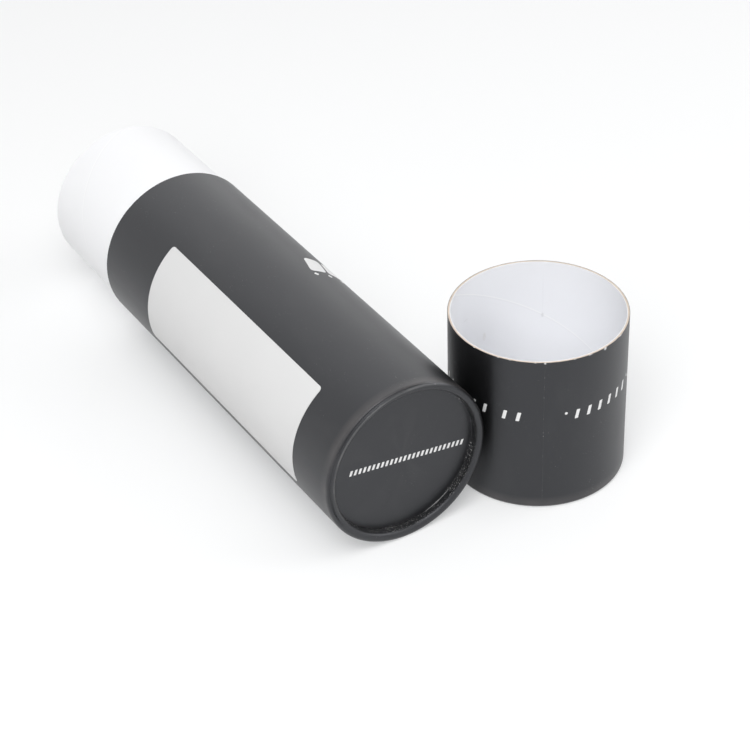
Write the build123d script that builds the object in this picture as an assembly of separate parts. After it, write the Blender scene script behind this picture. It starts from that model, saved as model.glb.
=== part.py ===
from build123d import *
import math
import os

# Round paper tube box with its lid taken off, all sizes in millimetres.
# The tube lies on its side along Y, its rolled and closed end to the front (-Y) and its neck to the back.
# The lid stands at the tube's right (+X) on its own rolled end, with its mouth up.
# The origin is on the floor, under the middle of the box that holds both.

os.makedirs("parts", exist_ok=True)

# Walls and rolled ends, the same on the tube and the lid
outer_radius = 45.0
wrap_thickness = 0.2
roll_width = 4.8
roll_rounding = 2.2
rim_bands = 3
hidden_bands = 2
collar_depth = 5.2
disc_thickness = 1.2

# Tube: body, and the inner tube that stands out of it as the neck
body_length = 234.0
body_core_thickness = 1.5
neck_thickness = 1.3
neck_reach = 66.0

# Lid
lid_height = 89.0
lid_core_thickness = 0.85
liner_thickness = 0.45

# Label stuck on the tube's left side
label_thickness = 0.15
label_length = 152.0
label_width = 56.5
label_from_end = 33.0
label_corner_radius = 2.0
label_turn = 162.2

# Places of the tube and the lid
gap_between = 0.4
lid_from_tube_end = 20.5

# Worked out from the above
core_radius = outer_radius - wrap_thickness
body_bore_radius = core_radius - body_core_thickness
liner_radius = core_radius - lid_core_thickness
tube_length = body_length + neck_reach
disc_inner_face = collar_depth + disc_thickness
axis_x = outer_radius + gap_between / 2
lid_y = (outer_radius + lid_from_tube_end - tube_length) / 2
tube_end_y = lid_y - lid_from_tube_end


def corner(centre, radius, first, last, bands):
    """Rounded corner of a section, as a few straight bands between two angles in degrees."""
    turn = (last - first) / bands
    angles = [math.radians(first + turn * step) for step in range(bands + 1)]
    return [(centre[0] + radius * math.cos(angle), centre[1] + radius * math.sin(angle)) for angle in angles]


def rolled_wall(inset, thickness, top, outer_bands, inner_bands):
    """Wall about Z whose lower end is rolled inwards and runs back up as a collar, set in from the outside."""
    outside = outer_radius - inset
    collar = outer_radius - roll_width + inset
    outer_centre = (outer_radius - roll_rounding, roll_rounding)
    collar_centre = (outer_radius - roll_width + roll_rounding, roll_rounding)
    outer_rounding = roll_rounding - inset
    inner_rounding = outer_rounding - thickness
    section = make_face(
        Polyline(
            (outside, top),
            *corner(outer_centre, outer_rounding, 0, -90, outer_bands),
            *corner(collar_centre, outer_rounding, -90, -180, outer_bands),
            (collar, collar_depth),
            (collar + thickness, collar_depth),
            *corner(collar_centre, inner_rounding, -180, -90, inner_bands),
            *corner(outer_centre, inner_rounding, -90, 0, inner_bands),
            (outside - thickness, top),
            close=True,
        )
    )
    return revolve(Plane.XZ * section, Axis.Z)


def plain_wall(radius, thickness, base, top):
    """Straight wall about Z, cut square at both ends."""
    ring = Circle(radius) - Circle(radius - thickness)
    return extrude(Pos(0, 0, base) * ring, top - base)


def end_disc(radius):
    """Board disc that lies on the collar's cut edge."""
    return extrude(Pos(0, 0, collar_depth) * Circle(radius), disc_thickness)


def wall_wrap(top):
    """Outer paper, which follows the core over the roll and along the collar."""
    return rolled_wall(0, wrap_thickness, top, rim_bands, hidden_bands)


def wall_core(thickness, top):
    """Board core, just inside its wrap."""
    return rolled_wall(wrap_thickness, thickness, top, hidden_bands, 1)


def rounded_label():
    """Label with rounded corners, bent round the tube's side."""
    label_end = label_from_end + label_length
    skin = plain_wall(outer_radius + label_thickness, label_thickness, label_from_end, label_end)
    half_turn = label_width / outer_radius / 2
    chord = 2 * outer_radius * math.sin(half_turn)
    middle = label_from_end + label_length / 2
    outline = Plane.YZ * Pos(0, middle) * RectangleRounded(chord, label_length, label_corner_radius)
    patch = skin & extrude(outline, 2 * outer_radius)
    return Rot(0, 0, -label_turn) * patch


tube_nodes = {
    "body_wrap": wall_wrap(body_length),
    "body_core": wall_core(body_core_thickness, body_length),
    "neck_tube": plain_wall(body_bore_radius, neck_thickness, disc_inner_face, tube_length),
    "bottom_disc": end_disc(body_bore_radius),
    "side_label": rounded_label(),
}

lid_nodes = {
    "lid_wrap": wall_wrap(lid_height),
    "lid_core": wall_core(lid_core_thickness, lid_height),
    "lid_liner": plain_wall(liner_radius, liner_thickness, disc_inner_face, lid_height),
    "lid_disc": end_disc(liner_radius),
}

# The tube's own axis, +Z up to here, is laid along +Y
tube_place = Plane(origin=(-axis_x, tube_end_y, outer_radius), x_dir=(1, 0, 0), z_dir=(0, 1, 0)).location
lid_place = Pos(axis_x, lid_y, 0)

for node, solid in tube_nodes.items():
    export_step(tube_place * solid, f"parts/{node}.step")

for node, solid in lid_nodes.items():
    export_step(lid_place * solid, f"parts/{node}.step")
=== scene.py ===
import math
import random

import bmesh
import bpy
from mathutils import Matrix, Vector


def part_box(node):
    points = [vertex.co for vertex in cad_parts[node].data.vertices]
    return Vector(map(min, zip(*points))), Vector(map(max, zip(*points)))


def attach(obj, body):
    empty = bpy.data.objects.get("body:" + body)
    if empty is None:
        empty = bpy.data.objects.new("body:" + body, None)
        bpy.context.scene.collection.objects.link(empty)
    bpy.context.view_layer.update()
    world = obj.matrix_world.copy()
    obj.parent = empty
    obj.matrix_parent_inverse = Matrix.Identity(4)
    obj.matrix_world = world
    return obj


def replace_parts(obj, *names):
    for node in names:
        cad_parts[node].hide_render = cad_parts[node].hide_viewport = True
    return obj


# A round paper tube box: the tube lies on the floor along Y, and its lid stands beside it, mouth up.
# Each round piece is made about its own axis, Z from the rolled and closed end, and then put in place.

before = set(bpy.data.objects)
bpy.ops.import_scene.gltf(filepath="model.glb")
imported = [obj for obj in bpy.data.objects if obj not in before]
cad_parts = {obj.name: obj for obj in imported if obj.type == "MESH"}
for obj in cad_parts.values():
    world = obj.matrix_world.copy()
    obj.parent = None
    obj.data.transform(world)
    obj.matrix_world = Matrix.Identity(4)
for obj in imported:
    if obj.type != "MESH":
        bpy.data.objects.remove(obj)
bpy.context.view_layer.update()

MM = 0.001
SEGMENTS = 720
random.seed(7)


def rounded(value):
    """A size read from the frame, to a twentieth of a millimetre."""
    return round(value / (0.05 * MM)) * 0.05 * MM


# Sizes, read from the frame
body_low, body_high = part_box("body_wrap")
lid_low, lid_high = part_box("lid_wrap")
neck_low, neck_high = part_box("neck_tube")
liner_low, liner_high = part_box("lid_liner")
core_low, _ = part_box("lid_core")
lid_disc_low, lid_disc_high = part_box("lid_disc")
label_low, label_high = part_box("side_label")

OUTER = rounded((lid_high.x - lid_low.x) / 2)
LID_HEIGHT = rounded(lid_high.z)
BODY_LENGTH = rounded(body_high.y - body_low.y)
TUBE_LENGTH = rounded(neck_high.y - body_low.y)
NECK_RADIUS = rounded((neck_high.z - neck_low.z) / 2)
LINER_RADIUS = rounded((liner_high.x - liner_low.x) / 2)
COLLAR_DEPTH = rounded(lid_disc_low.z)
DISC_TOP = rounded(lid_disc_high.z)
WRAP = rounded(core_low.z)

# Walls and roll, as in the solids
BODY_CORE_WALL = 1.5 * MM
LID_CORE_WALL = 0.85 * MM
NECK_WALL = 1.3 * MM
LINER_WALL = 0.45 * MM
ROLL_WIDTH = 4.8 * MM
ROLL_ROUNDING = 2.2 * MM
COLLAR_RADIUS = OUTER - ROLL_WIDTH
SEAM_PITCH = 147.8 * MM
CUT_SOFTENING = 0.06 * MM

# Label and print: both are sheets that start just under the surface
LABEL_WIDTH = 56.5 * MM
LABEL_CORNER = 2.0 * MM
LABEL_TURN = math.radians(-162.2)
LABEL_HEIGHT = 0.13 * MM
PRINT_HEIGHT = 0.03 * MM
SHEET_ROOT = -0.02 * MM

# Wear and unevenness of the black film, whose worn side is given as a turn; on that side the roll's ridge
# also carries a painted highlight
RIDGE_RADIUS = OUTER - 2.3 * MM
RIDGE_DRIFT = 1.6 * MM
WORN_MIDDLE = math.radians(20)
WORN_HALF = math.radians(55)
WORN_FADE = math.radians(25)
PLEAT_DEPTH = 0.12 * MM
WAVE_DEPTH = 0.08 * MM
ROLL_LEAN = 0.4 * MM
LEAN_TURN = math.radians(95)
GROOVE_DEPTH = 0.55 * MM
GROOVE_TILT = math.radians(52)
GROOVE_SPREAD = math.radians(21)
GROOVE_DRIFT = 0.43
SEAM_STEP = 0.04 * MM / OUTER
OVERLAP_WIDTH = 9.0 * MM / OUTER
OVERLAP_HEIGHT = 0.07 * MM

# Places of the tube and the lid: the tube's own X stays X, and its own Z is laid along Y
tube_place = Matrix.Translation(((body_low.x + body_high.x) / 2, body_low.y, OUTER)) @ Matrix.Rotation(
    math.radians(-90), 4, "X"
)
lid_place = Matrix.Translation(((lid_low.x + lid_high.x) / 2, (lid_low.y + lid_high.y) / 2, 0))


# Shader nodes


class Look:
    """A procedural material, with short calls for its nodes."""

    def __init__(self, name):
        self.material = bpy.data.materials.new(name)
        self.material.use_nodes = True
        self.tree = self.material.node_tree
        self.shader = self.tree.nodes["Principled BSDF"]
        self.place = self.tree.nodes.new("ShaderNodeTexCoord").outputs["Object"]

    def node(self, kind, inputs=None, **settings):
        made = self.tree.nodes.new("ShaderNode" + kind)
        for key, value in settings.items():
            setattr(made, key, value)
        for key, value in (inputs or {}).items():
            self.feed(made.inputs[key], value)
        return made

    def feed(self, socket, value):
        if isinstance(value, bpy.types.NodeSocket):
            self.tree.links.new(value, socket)
        else:
            socket.default_value = value

    def math(self, operation, first, second=0.0, clamp=False):
        return self.node("Math", {0: first, 1: second}, operation=operation, use_clamp=clamp).outputs[0]

    def wrap(self, value, low, high):
        """Value brought between low and high by whole steps of their distance."""
        return self.node("Math", {0: value, 1: high, 2: low}, operation="WRAP").outputs[0]

    def split(self):
        """X, Y and Z of the piece's own coordinates."""
        return self.node("SeparateXYZ", {0: self.place}).outputs

    def turn(self):
        """Angle about the piece's axis, in radians."""
        x, y, _ = self.split()
        return self.math("ARCTAN2", y, x)

    def radius(self):
        x, y, _ = self.split()
        return self.math("SQRT", self.math("ADD", self.math("MULTIPLY", x, x), self.math("MULTIPLY", y, y)))

    def rolled_out(self):
        """Coordinates of the unrolled wall, in metres: round the outside, along the axis, and radius."""
        _, _, z = self.split()
        around = self.math("MULTIPLY", self.turn(), OUTER)
        return self.node("CombineXYZ", {0: around, 1: z, 2: self.radius()}).outputs[0]

    def noise(self, scale, detail=2.0, roughness=0.5, at=None, stretch=None):
        """Fractal noise from about 0 to 1, scale in cells a metre."""
        vector = at or self.place
        if stretch:
            vector = self.node("Mapping", {"Vector": vector, "Scale": stretch}).outputs[0]
        inputs = {"Vector": vector, "Scale": scale, "Detail": detail, "Roughness": roughness}
        return self.node("TexNoise", inputs).outputs[0]

    def ramp(self, value, low, high, from_value=0.0, to_value=1.0):
        """Value from low to high, mapped to from_value to to_value and held at both ends."""
        inputs = {0: value, 1: low, 2: high, 3: from_value, 4: to_value}
        return self.node("MapRange", inputs, clamp=True).outputs[0]

    def band(self, value, middle, half_width, soft):
        """1 where value is within half_width of middle, falling to 0 over soft."""
        distance = self.math("ABSOLUTE", self.math("SUBTRACT", value, middle))
        return self.ramp(distance, half_width, half_width + soft, 1.0, 0.0)

    def spot(self, z, height, turn, half_height, half_width, strength):
        """An oval soft spot on a wall, strongest at its middle; turn is in degrees."""
        tall = self.math("DIVIDE", self.math("SUBTRACT", z, height), half_height)
        wide = self.math("DIVIDE", self.math("SUBTRACT", self.turn(), math.radians(turn)), half_width / OUTER)
        far = self.math("ADD", self.math("MULTIPLY", tall, tall), self.math("MULTIPLY", wide, wide))
        return self.ramp(far, 0.2, 1.0, strength, 0.0)

    def mix(self, amount, first, second):
        """Colour from first to second by amount."""
        made = self.node("Mix", data_type="RGBA")
        self.feed(made.inputs[0], amount)
        self.feed(made.inputs[6], first)
        self.feed(made.inputs[7], second)
        return made.outputs[2]

    def bump(self, height, distance, strength=1.0, under=None):
        inputs = {"Height": height, "Distance": distance, "Strength": strength}
        if under is not None:
            inputs["Normal"] = under
        return self.node("Bump", inputs).outputs[0]

    def set(self, **values):
        for key, value in values.items():
            self.feed(self.shader.inputs[key.replace("_", " ")], value)


COOL = (0.98, 0.99, 1.06)
PLY = 0.35 * MM


def grey(level, tint=(1.0, 1.0, 1.0)):
    return (level * tint[0], level * tint[1], level * tint[2], 1.0)


def rubbed_and_highlit_shoulder(look, z, radius):
    """Where the outside meets the roll: a lighter band, partly rubbed and partly a painted highlight on the
    rounded shoulder.
    """
    past_roll = look.ramp(z, 0.6 * MM, 1.4 * MM)
    band = look.math("MULTIPLY", past_roll, look.ramp(z, 3.0 * MM, 7.0 * MM, 1.0, 0.0))
    return look.math("MULTIPLY", band, look.ramp(radius, OUTER - 0.8 * MM, OUTER - 0.4 * MM))


def worn_ridge_with_painted_highlight(look, z, radius, worn_highlit_turn):
    """A thin lighter line along the roll's ridge on its worn side, which drifts across the roll as it goes
    round: partly wear, and partly a painted highlight where the ridge's curve catches the light.
    """
    off = look.wrap(look.math("SUBTRACT", worn_highlit_turn, look.turn()), -math.pi, math.pi)
    line = look.math("SUBTRACT", RIDGE_RADIUS, look.math("MULTIPLY", off, RIDGE_DRIFT))
    ridge_wear_and_highlight = look.band(look.math("SUBTRACT", radius, line), 0.0, 0.2 * MM, 0.5 * MM)
    ridge_wear_and_highlight = look.math("MULTIPLY", ridge_wear_and_highlight, look.ramp(z, 0.6 * MM, 1.2 * MM, 1.0, 0.0))
    return look.math("MULTIPLY", ridge_wear_and_highlight, look.band(off, WORN_MIDDLE, WORN_HALF, WORN_FADE))


def dust_and_edge(look, flat, z, top, dust):
    """Fine light specks, and a worn line along the wall's cut edge."""
    specks = look.ramp(look.noise(2300.0, 1.0), 0.74, 0.79)
    specks = look.math("MULTIPLY", specks, look.ramp(look.noise(70.0, 1.0), 0.45, 0.7, 0.0, dust))
    edge = look.band(z, top, 0.1 * MM, 0.3 * MM)
    edge = look.math("MULTIPLY", edge, look.ramp(look.noise(500.0, 3.0, at=flat), 0.58, 0.7))
    return look.math("MAXIMUM", specks, edge)


def collar_wear(look, flat, z, on_collar, brushed, frays):
    """Brushed scuffs, flecks and frayed stretches on the collar inside the roll."""
    scuffed = look.ramp(look.noise(90.0, 2.0, at=flat), 0.45, 0.62)
    scuffed = look.math("MULTIPLY", on_collar, look.math("MULTIPLY", scuffed, look.ramp(brushed, 0.62, 0.74)))
    flecked = look.math("MULTIPLY", on_collar, look.ramp(look.noise(60.0, 1.0, at=flat), 0.40, 0.60))
    flecked = look.math("MULTIPLY", flecked, look.ramp(look.noise(1700.0, 1.0), 0.60, 0.68, 0.0, 0.5))
    wear = look.math("MAXIMUM", look.math("MULTIPLY", scuffed, 0.4), flecked)
    for fray in frays:
        uneven = look.ramp(look.noise(400.0, 2.0), 0.3, 0.6, 0.3, 1.0)
        torn = look.math("MULTIPLY", look.spot(z, *fray), uneven)
        wear = look.math("MAXIMUM", wear, look.math("MULTIPLY", torn, on_collar))
    return wear


def black_film(name, top, seam_turn=None, dust=0.5, worn_highlit_turn=0.0, frays=(), chips=(), inner_face=None):
    """Black paper under a satin film, with wear, and with painted highlights mixed into the wear on the
    roll's shoulder and ridge; it is white paper from the height inner_face on.
    """
    look = Look(name)
    flat = look.rolled_out()
    _, _, z = look.split()
    radius = look.radius()
    cloud = look.noise(14.0, 3.0)
    rub = look.ramp(look.noise(45.0, 3.0, at=flat, stretch=(1.0, 0.5, 1.0)), 0.5, 0.75)
    patchy = look.ramp(look.noise(60.0, 3.0, at=flat), 0.35, 0.65, 0.3, 1.0)
    brushed = look.noise(2600.0, 3.0, 0.7, at=flat, stretch=(1.0, 0.25, 1.0))
    ridge_wear_and_highlight = worn_ridge_with_painted_highlight(look, z, radius, worn_highlit_turn)
    on_collar = look.band(radius, COLLAR_RADIUS, 0.4 * MM, 0.9 * MM)
    on_collar = look.math("MULTIPLY", on_collar, look.ramp(z, 0.8 * MM, 2.0 * MM))

    base = look.mix(cloud, grey(0.003, COOL), grey(0.006, COOL))
    base = look.mix(look.math("MULTIPLY", rub, 0.5), base, grey(0.02))
    # Lighter warm band on the shoulder: partly wear, partly a painted highlight.
    shoulder_wear_and_highlight = look.math("MULTIPLY", rubbed_and_highlit_shoulder(look, z, radius), patchy)
    base = look.mix(shoulder_wear_and_highlight, base, (0.040, 0.037, 0.036, 1.0))
    # The ridge line is lighter: partly wear, partly a painted highlight.
    base = look.mix(look.math("MULTIPLY", ridge_wear_and_highlight, patchy), base, grey(0.085))

    wear = dust_and_edge(look, flat, z, top, dust)
    # Light specks along the ridge line: partly wear, partly painted glints.
    nicks_and_glints = look.math("MULTIPLY", ridge_wear_and_highlight, look.ramp(look.noise(300.0, 3.0, 0.6), 0.62, 0.70, 0.0, 0.6))
    wear = look.math("MAXIMUM", wear, nicks_and_glints)
    wear = look.math("MAXIMUM", wear, collar_wear(look, flat, z, on_collar, brushed, frays))
    if seam_turn is not None:
        from_seam = look.math("SUBTRACT", look.turn(), seam_turn)
        seam = look.band(from_seam, 0.0, 0.08 * MM / OUTER, 0.1 * MM / OUTER)
        flecks = look.ramp(look.noise(900.0, 2.0, at=flat), 0.62, 0.70, 0.0, 0.5)
        wear = look.math("MAXIMUM", wear, look.math("MULTIPLY", seam, flecks))
        base = look.mix(look.math("MULTIPLY", seam, 0.6), base, grey(0.022))
    for chip in chips:
        wear = look.math("MAXIMUM", wear, look.spot(z, *chip))
    colour = look.mix(wear, base, grey(0.6))
    if inner_face:
        colour = look.mix(look.ramp(z, inner_face - 0.3 * MM, inner_face - 0.2 * MM), colour, grey(0.86))

    waves = look.noise(30.0, 2.0, 0.4, at=flat, stretch=(1.0, 0.5, 1.0))
    normal = look.bump(look.noise(1500.0, 3.0, 0.6), 0.02 * MM, 0.5)
    normal = look.bump(waves, 1.0 * MM, 0.25, under=normal)
    normal = look.bump(brushed, 0.08 * MM, look.math("MULTIPLY", on_collar, 0.8), under=normal)
    rough = look.math("ADD", look.ramp(cloud, 0.2, 0.8, 0.37, 0.43), look.math("MULTIPLY", rub, 0.05))
    look.set(Base_Color=colour, Roughness=rough, Normal=normal)
    look.set(Specular_IOR_Level=0.70, Specular_Tint=(0.91, 0.93, 1.0, 1.0))
    return look.material


def kraft_board(name):
    """Raw kraft board: brown plies seen on the cut, with fibres."""
    look = Look(name)
    plies = look.math("SINE", look.math("MULTIPLY", look.radius(), 2 * math.pi / PLY))
    fibres = look.noise(3000.0, 4.0, 0.7)
    cloud = look.noise(200.0, 2.0)
    shade = look.math("ADD", look.math("MULTIPLY", plies, 0.12), fibres)
    colour = look.mix(look.ramp(shade, 0.2, 0.9), (0.46, 0.37, 0.30, 1.0), (0.72, 0.63, 0.55, 1.0))
    colour = look.mix(look.ramp(cloud, 0.4, 0.9, 0.0, 0.5), colour, (0.76, 0.68, 0.60, 1.0))
    look.set(Base_Color=colour, Roughness=0.9, Normal=look.bump(shade, 0.08 * MM, 0.5))
    return look.material


def helix(look, start, half_width, soft):
    """The seam of a wall wound as a screw, crossing turn 0 at the height start."""
    _, _, z = look.split()
    climb = look.math("MULTIPLY", look.turn(), SEAM_PITCH / (2 * math.pi))
    height = look.math("SUBTRACT", look.math("SUBTRACT", z, climb), start - SEAM_PITCH / 2)
    return look.band(look.wrap(height, 0.0, SEAM_PITCH), SEAM_PITCH / 2, half_width, soft)


def white_paper(name, top, start, shade, tint=(1.0, 1.0, 1.0), marks=()):
    """Smooth white paper, wound as a screw, with a fine seam drawn as a painted highlight line over a painted
    shadow line, and a few handling marks at given places.
    """
    look = Look(name)
    _, _, z = look.split()
    cloud = look.noise(20.0, 3.0)
    base = look.mix(cloud, grey(shade, tint), grey(shade * 1.03, tint))
    # The seam is a lighter line, a painted highlight on the overlap step, and the darker line 0.8 mm below it
    # is the step's painted shadow.
    seam = helix(look, start, 0.15 * MM, 0.2 * MM)
    shadow = helix(look, start - 0.8 * MM, 0.3 * MM, 0.4 * MM)
    colour = look.mix(look.math("MULTIPLY", seam, 0.6), base, grey(0.95))
    colour = look.mix(look.math("MULTIPLY", shadow, 0.06), colour, grey(shade * 0.7))
    fibres = look.noise(2500.0, 3.0, 0.6)
    for *mark, stain in marks:
        soft = look.math("MULTIPLY", look.spot(z, *mark), look.ramp(fibres, 0.3, 0.6))
        colour = look.mix(soft, colour, stain)
    cut_edge = look.ramp(z, top - 0.06 * MM, top - 0.03 * MM, 0.0, 0.7)
    colour = look.mix(cut_edge, colour, grey(0.66))
    normal = look.bump(fibres, 0.02 * MM, 0.4)
    normal = look.bump(seam, 0.1 * MM, 0.5, under=normal)
    look.set(Base_Color=colour, Roughness=0.55, Normal=normal)
    return look.material


def label_paper():
    """Matt grey-white label paper."""
    look = Look("label_paper")
    cloud = look.noise(25.0, 4.0)
    base = look.mix(cloud, grey(0.64), grey(0.67))
    fibres = look.noise(1800.0, 3.0, 0.6)
    colour = look.mix(look.ramp(fibres, 0.6, 0.8, 0.0, 0.06), base, grey(0.5))
    look.set(Base_Color=colour, Roughness=0.6, Normal=look.bump(fibres, 0.03 * MM, 0.5))
    return look.material


def print_white():
    """White print, thin and a little uneven, so that the film's black shows through in pinholes."""
    look = Look("print_white")
    worn = look.ramp(look.noise(2500.0, 3.0, 0.6), 0.62, 0.74, 0.0, 0.5)
    colour = look.mix(worn, grey(0.74), grey(0.25))
    look.set(Base_Color=colour, Roughness=0.5)
    return look.material


# Meshes


def piece(name, verts, faces, place, body, look, smooth_angle=35.0):
    """A mesh piece in place, on its body, with outward faces and smooth rounds."""
    mesh = bpy.data.meshes.new(name)
    made = bmesh.new()
    corners = [made.verts.new(point) for point in verts]
    for face in faces:
        if len(set(face)) > 2:
            made.faces.new([corners[index] for index in face])
    bmesh.ops.remove_doubles(made, verts=made.verts, dist=1e-7)
    bmesh.ops.recalc_face_normals(made, faces=made.faces)
    made.to_mesh(mesh)
    made.free()
    mesh.shade_smooth()
    mesh.set_sharp_from_angle(angle=math.radians(smooth_angle))
    mesh.materials.append(look)
    item = bpy.data.objects.new(name, mesh)
    bpy.context.scene.collection.objects.link(item)
    item.matrix_world = place
    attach(item, body)
    return item


def turned(section, shift=None, seam_turn=None):
    """Corners and faces of a closed section of (radius, height) points turned about Z."""
    angles = [2 * math.pi * step / SEGMENTS for step in range(SEGMENTS)]
    if seam_turn is not None:
        angles += [(seam_turn + side * SEAM_STEP) % (2 * math.pi) for side in (-1, 1)]
        angles.sort()
    verts = []
    for angle in angles:
        for radius, height in section:
            if shift:
                radius, height = shift(angle, radius, height)
            verts.append((radius * math.cos(angle), radius * math.sin(angle), height))
    rows = len(section)
    faces = []
    for step in range(len(angles)):
        here = step * rows
        there = (step + 1) % len(angles) * rows
        for row in range(rows):
            after = (row + 1) % rows
            faces.append((here + row, there + row, there + after, here + after))
    return verts, faces


def arc(centre, radius, first, last, steps):
    """Points of an arc in a section, between two angles in degrees."""
    angles = [math.radians(first + (last - first) * step / steps) for step in range(steps + 1)]
    return [(centre[0] + radius * math.cos(angle), centre[1] + radius * math.sin(angle)) for angle in angles]


def span(start, end, steps):
    """Evenly spaced points between two points of a section, without the last."""
    return [
        (
            start[0] + (end[0] - start[0]) * step / steps,
            start[1] + (end[1] - start[1]) * step / steps,
        )
        for step in range(steps)
    ]


def ripple(seed, waves):
    """A closed wavy line round the axis: the sum of a few sines of an angle, from about -1 to 1."""
    source = random.Random(seed)
    parts = [
        (source.choice(waves), source.uniform(0, 2 * math.pi), source.uniform(0.4, 1.0))
        for _ in range(9)
    ]
    total = sum(size for _, _, size in parts)
    return lambda angle: sum(size * math.sin(count * angle + phase) for count, phase, size in parts) / total


OUTER_CENTRE = (OUTER - ROLL_ROUNDING, ROLL_ROUNDING)
COLLAR_CENTRE = (COLLAR_RADIUS + ROLL_ROUNDING, ROLL_ROUNDING)
COLLAR_START = ROLL_ROUNDING + 0.3 * MM


def wrap_section(top):
    """Section of the outer paper: down the outside, round the roll, up the collar, and back inside."""
    under = ROLL_ROUNDING - WRAP
    outside = [(OUTER - 0.04 * MM, top)] + span((OUTER, top - 0.05 * MM), (OUTER, ROLL_ROUNDING), 6)
    roll = arc(OUTER_CENTRE, ROLL_ROUNDING, 0, -90, 26) + arc(COLLAR_CENTRE, ROLL_ROUNDING, -90, -180, 10)
    collar = span((COLLAR_RADIUS, COLLAR_START), (COLLAR_RADIUS, COLLAR_DEPTH), 5)
    collar_end = [(COLLAR_RADIUS, COLLAR_DEPTH), (COLLAR_RADIUS + WRAP, COLLAR_DEPTH)]
    inside = arc(COLLAR_CENTRE, under, -180, -90, 5) + arc(OUTER_CENTRE, under, -90, 0, 13)
    return outside + roll + collar + collar_end + inside + [(OUTER - WRAP, top)]


def core_section(thickness, top):
    """Section of the board under the outer paper, with a slightly softened cut edge."""
    over = ROLL_ROUNDING - WRAP
    inner = over - thickness
    soft = CUT_SOFTENING
    outside = [(OUTER - WRAP - soft, top), (OUTER - WRAP, top - soft)]
    roll = arc(OUTER_CENTRE, over, 0, -90, 13) + arc(COLLAR_CENTRE, over, -90, -180, 5)
    collar = span((COLLAR_RADIUS + WRAP, COLLAR_START), (COLLAR_RADIUS + WRAP, COLLAR_DEPTH), 5)
    collar_end = [(COLLAR_RADIUS + WRAP, COLLAR_DEPTH), (COLLAR_RADIUS + WRAP + thickness, COLLAR_DEPTH)]
    inside = arc(COLLAR_CENTRE, inner, -180, -90, 3) + arc(OUTER_CENTRE, inner, -90, 0, 3)
    mouth = [(OUTER - WRAP - thickness, top - soft), (OUTER - WRAP - thickness + soft, top)]
    return outside + roll + collar + collar_end + inside + mouth


def wrap_shift(seed, seam_turn, worn_highlit_turn):
    """Small true unevenness: an overlap, a wavy roll pressed in on one side, and pleats at the collar."""
    wavy = ripple(seed, [2, 3, 5, 7, 11])
    pleats = ripple(seed + 1, [97, 113, 131, 149, 167])
    uneven = ripple(seed + 2, [5, 7, 9, 13])

    def shift(angle, radius, height):
        if radius < OUTER - WRAP - 0.1 * MM and height < COLLAR_DEPTH - 0.01 * MM:
            inward = min(1.0, (OUTER - radius) / ROLL_WIDTH)
            depth = PLEAT_DEPTH * inward * inward * (0.6 + 0.4 * uneven(angle))
            lean = ROLL_LEAN * math.cos(angle - worn_highlit_turn - LEAN_TURN) * inward * inward
            radius += depth * (pleats(angle) - 0.6) * 0.5 + WAVE_DEPTH * wavy(angle) * inward + lean
        across = radius - OUTER_CENTRE[0]
        down = OUTER_CENTRE[1] - height
        reach = math.hypot(across, down)
        if across > 0 and down > 0 and reach > ROLL_ROUNDING - WRAP - 0.15 * MM:
            off = (worn_highlit_turn - angle + math.pi) % (2 * math.pi) - math.pi
            fade = (abs(off - WORN_MIDDLE) - WORN_HALF) / WORN_FADE
            amount = 0.5 + 0.5 * math.cos(math.pi * min(1.0, max(0.0, fade)))
            far = (math.atan2(down, across) - GROOVE_TILT - GROOVE_DRIFT * off) / GROOVE_SPREAD
            if abs(far) < 1:
                depth = GROOVE_DEPTH * amount * (0.85 + 0.3 * uneven(angle))
                depth *= 0.5 + 0.5 * math.cos(math.pi * far)
                radius -= depth * across / reach
                height += depth * down / reach
        if radius > OUTER - WRAP / 2:
            past = (angle - seam_turn) % (2 * math.pi)
            if past < OVERLAP_WIDTH:
                radius += OVERLAP_HEIGHT * (1 - past / OVERLAP_WIDTH) ** 0.5
        return radius, height

    return shift


def make_wall(name, body, place, top, core_wall, seam_turn, seed, worn_highlit_turn, frays=(), chips=()):
    """A rolled wall: its outer paper, and the board core that follows it."""
    shift = wrap_shift(seed, seam_turn, worn_highlit_turn)
    verts, faces = turned(wrap_section(top), shift, seam_turn)
    folded_turn = (seam_turn + math.pi) % (2 * math.pi) - math.pi
    look = black_film(name + "_film", top, folded_turn, worn_highlit_turn=worn_highlit_turn, frays=frays, chips=chips)
    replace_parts(piece(name + "_paper", verts, faces, place, body, look), name + "_wrap")
    verts, faces = turned(core_section(core_wall, top), shift)
    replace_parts(piece(name + "_board", verts, faces, place, body, kraft), name + "_core")


def make_ring(name, node, body, place, outer, wall, base, top, look):
    """Straight paper wall with slightly softened edges."""
    inner = outer - wall
    soft = CUT_SOFTENING
    section = [
        (outer, base),
        (outer, top - soft),
        (outer - soft, top),
        (inner + soft, top),
        (inner, top - soft),
        (inner, base),
    ]
    verts, faces = turned(section)
    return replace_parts(piece(name, verts, faces, place, body, look), node)


DISC_SHOWN = COLLAR_RADIUS + 0.5 * MM
DISC_CROWN = 0.12 * MM


def disc_face(distance):
    """Height of a disc's outer face, which lies a little deeper at its middle."""
    return COLLAR_DEPTH + DISC_CROWN * (1 - (distance / DISC_SHOWN) ** 2)


def make_disc(name, node, body, place, radius, look):
    """Board disc, pressed in a little round its rim by the collar."""
    rings = 40
    steps = [DISC_SHOWN * step / rings for step in range(rings + 1)]
    section = [(step, disc_face(step)) for step in steps]
    section += [(radius, COLLAR_DEPTH), (radius, DISC_TOP), (0.0, DISC_TOP)]
    verts, faces = turned(section)
    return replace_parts(piece(name, verts, faces, place, body, look), node)


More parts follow.
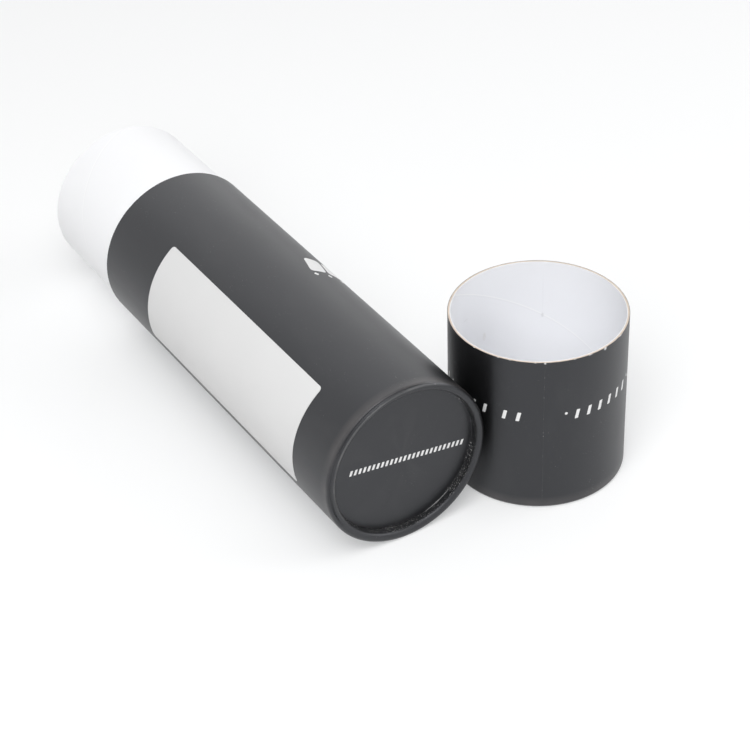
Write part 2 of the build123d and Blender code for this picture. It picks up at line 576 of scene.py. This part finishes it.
def sheets(shapes, onto, low, high):
    """Thin closed sheets, each a grid of (across, along) points, between two heights over a surface."""
    verts = []
    faces = []
    for columns in shapes:
        first = len(verts)
        count = len(columns)
        rows = len(columns[0])
        for height in (low, high):
            verts += [onto(across, along, height) for column in columns for across, along in column]
        layer = count * rows
        for column in range(count - 1):
            for row in range(rows - 1):
                a = first + column * rows + row
                b = a + rows
                faces.append((a, a + 1, b + 1, b))
                faces.append((layer + a, layer + b, layer + b + 1, layer + a + 1))
        rim = [column * rows for column in range(count)]
        rim += [(count - 1) * rows + row for row in range(1, rows)]
        rim += [column * rows + rows - 1 for column in range(count - 2, -1, -1)]
        rim += [row for row in range(rows - 2, 0, -1)]
        rim = [first + index for index in rim]
        for here, after in zip(rim, rim[1:] + rim[:1]):
            faces.append((here, after, layer + after, layer + here))
    return verts, faces


def rounded_patch(width, length, corner, columns, rows):
    """Rounded rectangle about (0, 0): its columns stand close together over the corners."""
    ends = [corner * (1 - math.cos(math.pi / 2 * step / 8)) for step in range(9)]
    flat = [corner + (width - 2 * corner) * step / columns for step in range(1, columns)]
    patch = []
    for across in ends + flat + [width - value for value in reversed(ends)]:
        inset = corner - min(across, width - across, corner)
        cut = corner - math.sqrt(max(0.0, corner**2 - inset**2))
        half = length / 2 - cut
        patch.append([(across - width / 2, half * (2 * row / rows - 1)) for row in range(rows + 1)])
    return patch


def placed(patch, across, along, turn=0.0, slant=0.0):
    """A patch leant over by slant, turned by an angle, and moved."""
    cosine = math.cos(turn)
    sine = math.sin(turn)
    moved = []
    for column in patch:
        leant = [(x + slant * y, y) for x, y in column]
        moved.append([(across + x * cosine - y * sine, along + x * sine + y * cosine) for x, y in leant])
    return moved


def onto_wall(across, along, height):
    """A point on the outside of a wall: across is its way round from turn 0."""
    angle = across / OUTER
    return ((OUTER + height) * math.cos(angle), (OUTER + height) * math.sin(angle), along)


def make_label():
    """Blank label with rounded corners, bent round the tube's side."""
    length = rounded(label_high.y - label_low.y)
    middle = rounded(label_low.y - body_low.y) + length / 2
    flat = rounded_patch(LABEL_WIDTH, length, LABEL_CORNER, columns=90, rows=60)
    patch = placed(flat, LABEL_TURN * OUTER, middle)
    verts, faces = sheets([patch], onto_wall, SHEET_ROOT, LABEL_HEIGHT)
    label = piece("label", verts, faces, tube_place, "tube", label_paper())
    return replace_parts(label, "side_label")


def make_print(name, shapes, onto, place, body):
    """Plain printed marks, as a skin of ink."""
    verts, faces = sheets(shapes, onto, SHEET_ROOT, PRINT_HEIGHT)
    return piece(name, verts, faces, place, body, white_ink)


def make_lid_print():
    """A row of slanted bars and dots round the lid."""
    bar = rounded_patch(1.8 * MM, 5.2 * MM, 0.3 * MM, 6, 4)
    dot = rounded_patch(1.5 * MM, 1.5 * MM, 0.74 * MM, 2, 4)
    middle = 56.0 * MM
    dot_lift = 1.6 * MM
    bar_turns = [-8.6 * step for step in range(6)] + [-80.5, -89.5, -103.5]
    dot_turns = [-50.5, -111.5]
    shapes = []
    for third in range(3):
        first = -56.5 + 120.0 * third
        shapes += [placed(bar, math.radians(first + turn) * OUTER, middle, slant=0.22) for turn in bar_turns]
        shapes += [placed(dot, math.radians(first + turn) * OUTER, middle + dot_lift) for turn in dot_turns]
    return make_print("lid_marks", shapes, onto_wall, lid_place, "lid")


def make_tube_print():
    """Broad slanted shapes over a row of small diamonds, on the top of the tube."""
    broad = rounded_patch(10.5 * MM, 15.5 * MM, 2.4 * MM, 24, 8)
    diamond = rounded_patch(2.2 * MM, 2.2 * MM, 0.3 * MM, 6, 4)
    shapes = []
    for step in range(6):
        shapes.append(placed(broad, math.radians(-58.0 + 15.3 * step) * OUTER, 125.0 * MM, slant=0.3))
    for step in range(9):
        across = math.radians(-66.0 + 11.6 * step) * OUTER
        shapes.append(placed(diamond, across, 113.7 * MM, turn=math.radians(45)))
    return make_print("tube_marks", shapes, onto_wall, tube_place, "tube")


def make_disc_print():
    """A line of small slanted bars across the bottom disc."""
    bar = rounded_patch(1.3 * MM, 3.0 * MM, 0.2 * MM, 2, 2)
    start = Vector((-28.6, -3.3)) * MM
    end = Vector((34.6, 4.3)) * MM
    count = 26
    along = end - start
    turn = math.atan2(along.y, along.x)
    shapes = []
    for step in range(count):
        point = start + along * (step / (count - 1))
        shapes.append(placed(bar, point.x, point.y, turn=turn, slant=-0.25))

    def onto_disc(across, along, height):
        distance = math.hypot(across, along)
        return across, along, disc_face(distance) - height

    return make_print("disc_marks", shapes, onto_disc, tube_place, "tube")


# The tube

kraft = kraft_board("kraft_board")
# Frayed stretches: height, turn in degrees, half height, half width and strength
collar_frays = [
    (COLLAR_DEPTH - 0.3 * MM, 61.0, 0.35 * MM, 11.5 * MM, 0.5),
    (COLLAR_DEPTH - 0.3 * MM, 101.5, 0.35 * MM, 4.0 * MM, 0.5),
]
make_wall(
    "body",
    "tube",
    tube_place,
    BODY_LENGTH,
    BODY_CORE_WALL,
    seam_turn=math.radians(75),
    seed=21,
    worn_highlit_turn=math.radians(-120),
    frays=collar_frays,
)
white_neck = white_paper("neck_paper", TUBE_LENGTH, 40.0 * MM, 0.87, (0.98, 0.985, 1.0))
make_ring(
    "neck",
    "neck_tube",
    "tube",
    tube_place,
    outer=NECK_RADIUS,
    wall=NECK_WALL,
    base=DISC_TOP,
    top=TUBE_LENGTH,
    look=white_neck,
)
disc_look = black_film("disc_film", 1.0, dust=0.3, inner_face=DISC_TOP)
make_disc("bottom_board", "bottom_disc", "tube", tube_place, NECK_RADIUS, disc_look)
make_label()
white_ink = print_white()
make_tube_print()
make_disc_print()

# The lid

# White chips at the mouth: height, turn in degrees, half height, half width and strength
chips = [
    (LID_HEIGHT - 0.5 * MM, -79.5, 1.1 * MM, 1.0 * MM, 1.0),
    (LID_HEIGHT - 0.3 * MM, -121.0, 0.6 * MM, 0.7 * MM, 0.9),
]
make_wall(
    "lid",
    "lid",
    lid_place,
    LID_HEIGHT,
    LID_CORE_WALL,
    seam_turn=math.radians(-121.2),
    seed=33,
    worn_highlit_turn=math.radians(60),
    chips=chips,
)
# Handling marks in the lining: height, turn in degrees, half height, half width, strength and colour
smudges = [
    (70.0 * MM, 51.5, 16.0 * MM, 0.5 * MM, 0.07, (0.40, 0.40, 0.42, 1.0)),
    (56.5 * MM, 51.5, 1.6 * MM, 1.0 * MM, 0.35, (0.40, 0.40, 0.42, 1.0)),
    (49.0 * MM, 93.7, 3.0 * MM, 1.4 * MM, 0.22, (0.50, 0.44, 0.36, 1.0)),
    (66.0 * MM, 112.0, 0.6 * MM, 2.5 * MM, 0.20, (0.45, 0.43, 0.42, 1.0)),
]
lining = white_paper("lining_paper", LID_HEIGHT, 35.9 * MM, 0.87, (0.962, 0.97, 1.0), smudges)
make_ring(
    "lining",
    "lid_liner",
    "lid",
    lid_place,
    outer=LINER_RADIUS,
    wall=LINER_WALL,
    base=DISC_TOP,
    top=LID_HEIGHT,
    look=lining,
)
make_disc("lid_end_board", "lid_disc", "lid", lid_place, LINER_RADIUS, disc_look)
make_lid_print()


# Floor, light and camera

FLOOR_SIDE = 6.0
FLOOR_SEEN = 0.58
FLOOR_LIFT = 0.355
ROOM_LIGHT = 0.35
LENS = 110.2
CAMERA_PLACE = (-0.5033, -0.8787, 0.7281)
CAMERA_TURN = math.radians(-30.78)
CAMERA_DOWN = math.radians(35.85)
CAMERA_ROLL = math.radians(-1.79)


def make_floor():
    """Pale floor, seen and mirrored lifted towards white, which keeps the object's soft shadow."""
    bpy.ops.mesh.primitive_plane_add(size=FLOOR_SIDE)
    floor = bpy.context.object
    floor.name = "floor"
    look = Look("floor")
    path = look.node("LightPath").outputs
    seen = look.math("MAXIMUM", path["Is Camera Ray"], path["Is Transmission Ray"])
    seen = look.math("MAXIMUM", seen, path["Is Glossy Ray"])
    mottle = look.noise(3.0, 2.0)
    own = look.mix(mottle, grey(0.79), grey(0.81))
    look.set(Base_Color=look.mix(seen, own, grey(FLOOR_SEEN)), Roughness=0.7)
    lift = look.math("MULTIPLY", seen, FLOOR_LIFT)
    look.set(Emission_Color=(0.975, 0.99, 1.0, 1.0), Emission_Strength=lift)
    floor.data.materials.append(look.material)


def make_world():
    """White room: dim as a light, and plain white where it is seen or mirrored."""
    world = bpy.data.worlds.new("studio")
    bpy.context.scene.world = world
    world.use_nodes = True
    nodes = world.node_tree.nodes
    links = world.node_tree.links
    path = nodes.new("ShaderNodeLightPath").outputs
    seen = nodes.new("ShaderNodeMath")
    seen.operation = "MAXIMUM"
    links.new(path["Is Camera Ray"], seen.inputs[0])
    links.new(path["Is Transmission Ray"], seen.inputs[1])
    either = nodes.new("ShaderNodeMath")
    either.operation = "MAXIMUM"
    links.new(path["Is Glossy Ray"], either.inputs[0])
    links.new(seen.outputs[0], either.inputs[1])
    level = nodes.new("ShaderNodeMapRange")
    level.inputs["To Min"].default_value = ROOM_LIGHT
    level.inputs["To Max"].default_value = 1.0
    links.new(either.outputs[0], level.inputs["Value"])
    back = nodes["Background"]
    back.inputs["Color"].default_value = (1.0, 1.0, 1.0, 1.0)
    links.new(level.outputs[0], back.inputs["Strength"])


def soft_lamp(name, turn, height, power, size=1.2, distance=1.7):
    """Large round lamp that looks at the object, placed by its turn from +X and its height, in degrees."""
    across = math.radians(turn)
    up = math.radians(height)
    lamp = bpy.data.lights.new(name, "AREA")
    lamp.shape = "DISK"
    lamp.size = size
    lamp.energy = power
    item = bpy.data.objects.new(name, lamp)
    bpy.context.scene.collection.objects.link(item)
    towards = Vector((math.cos(across) * math.cos(up), math.sin(across) * math.cos(up), math.sin(up)))
    item.location = towards * distance
    item.rotation_euler = towards.to_track_quat("Z", "Y").to_euler()
    return item


def make_camera():
    """Camera at the photograph's viewing angle."""
    lens = bpy.data.cameras.new("camera")
    lens.lens = LENS
    lens.sensor_width = 36.0
    camera = bpy.data.objects.new("camera", lens)
    turn = Matrix.Rotation(CAMERA_TURN, 4, "Z")
    tilt = Matrix.Rotation(math.radians(90) - CAMERA_DOWN, 4, "X")
    roll = Matrix.Rotation(CAMERA_ROLL, 4, "Z")
    camera.matrix_world = Matrix.Translation(CAMERA_PLACE) @ turn @ tilt @ roll
    bpy.context.scene.collection.objects.link(camera)
    bpy.context.scene.camera = camera


make_floor()
make_world()
key = soft_lamp("key", 225, 45, 16.5)
key.visible_glossy = False
soft_lamp("top", 240, 65, 9.0)
soft_lamp("right", 335, 28, 9.0)
soft_lamp("back", 72, 26, 24.0, size=4.6, distance=3.5)
make_camera()

bpy.context.scene.view_settings.view_transform = "Standard"
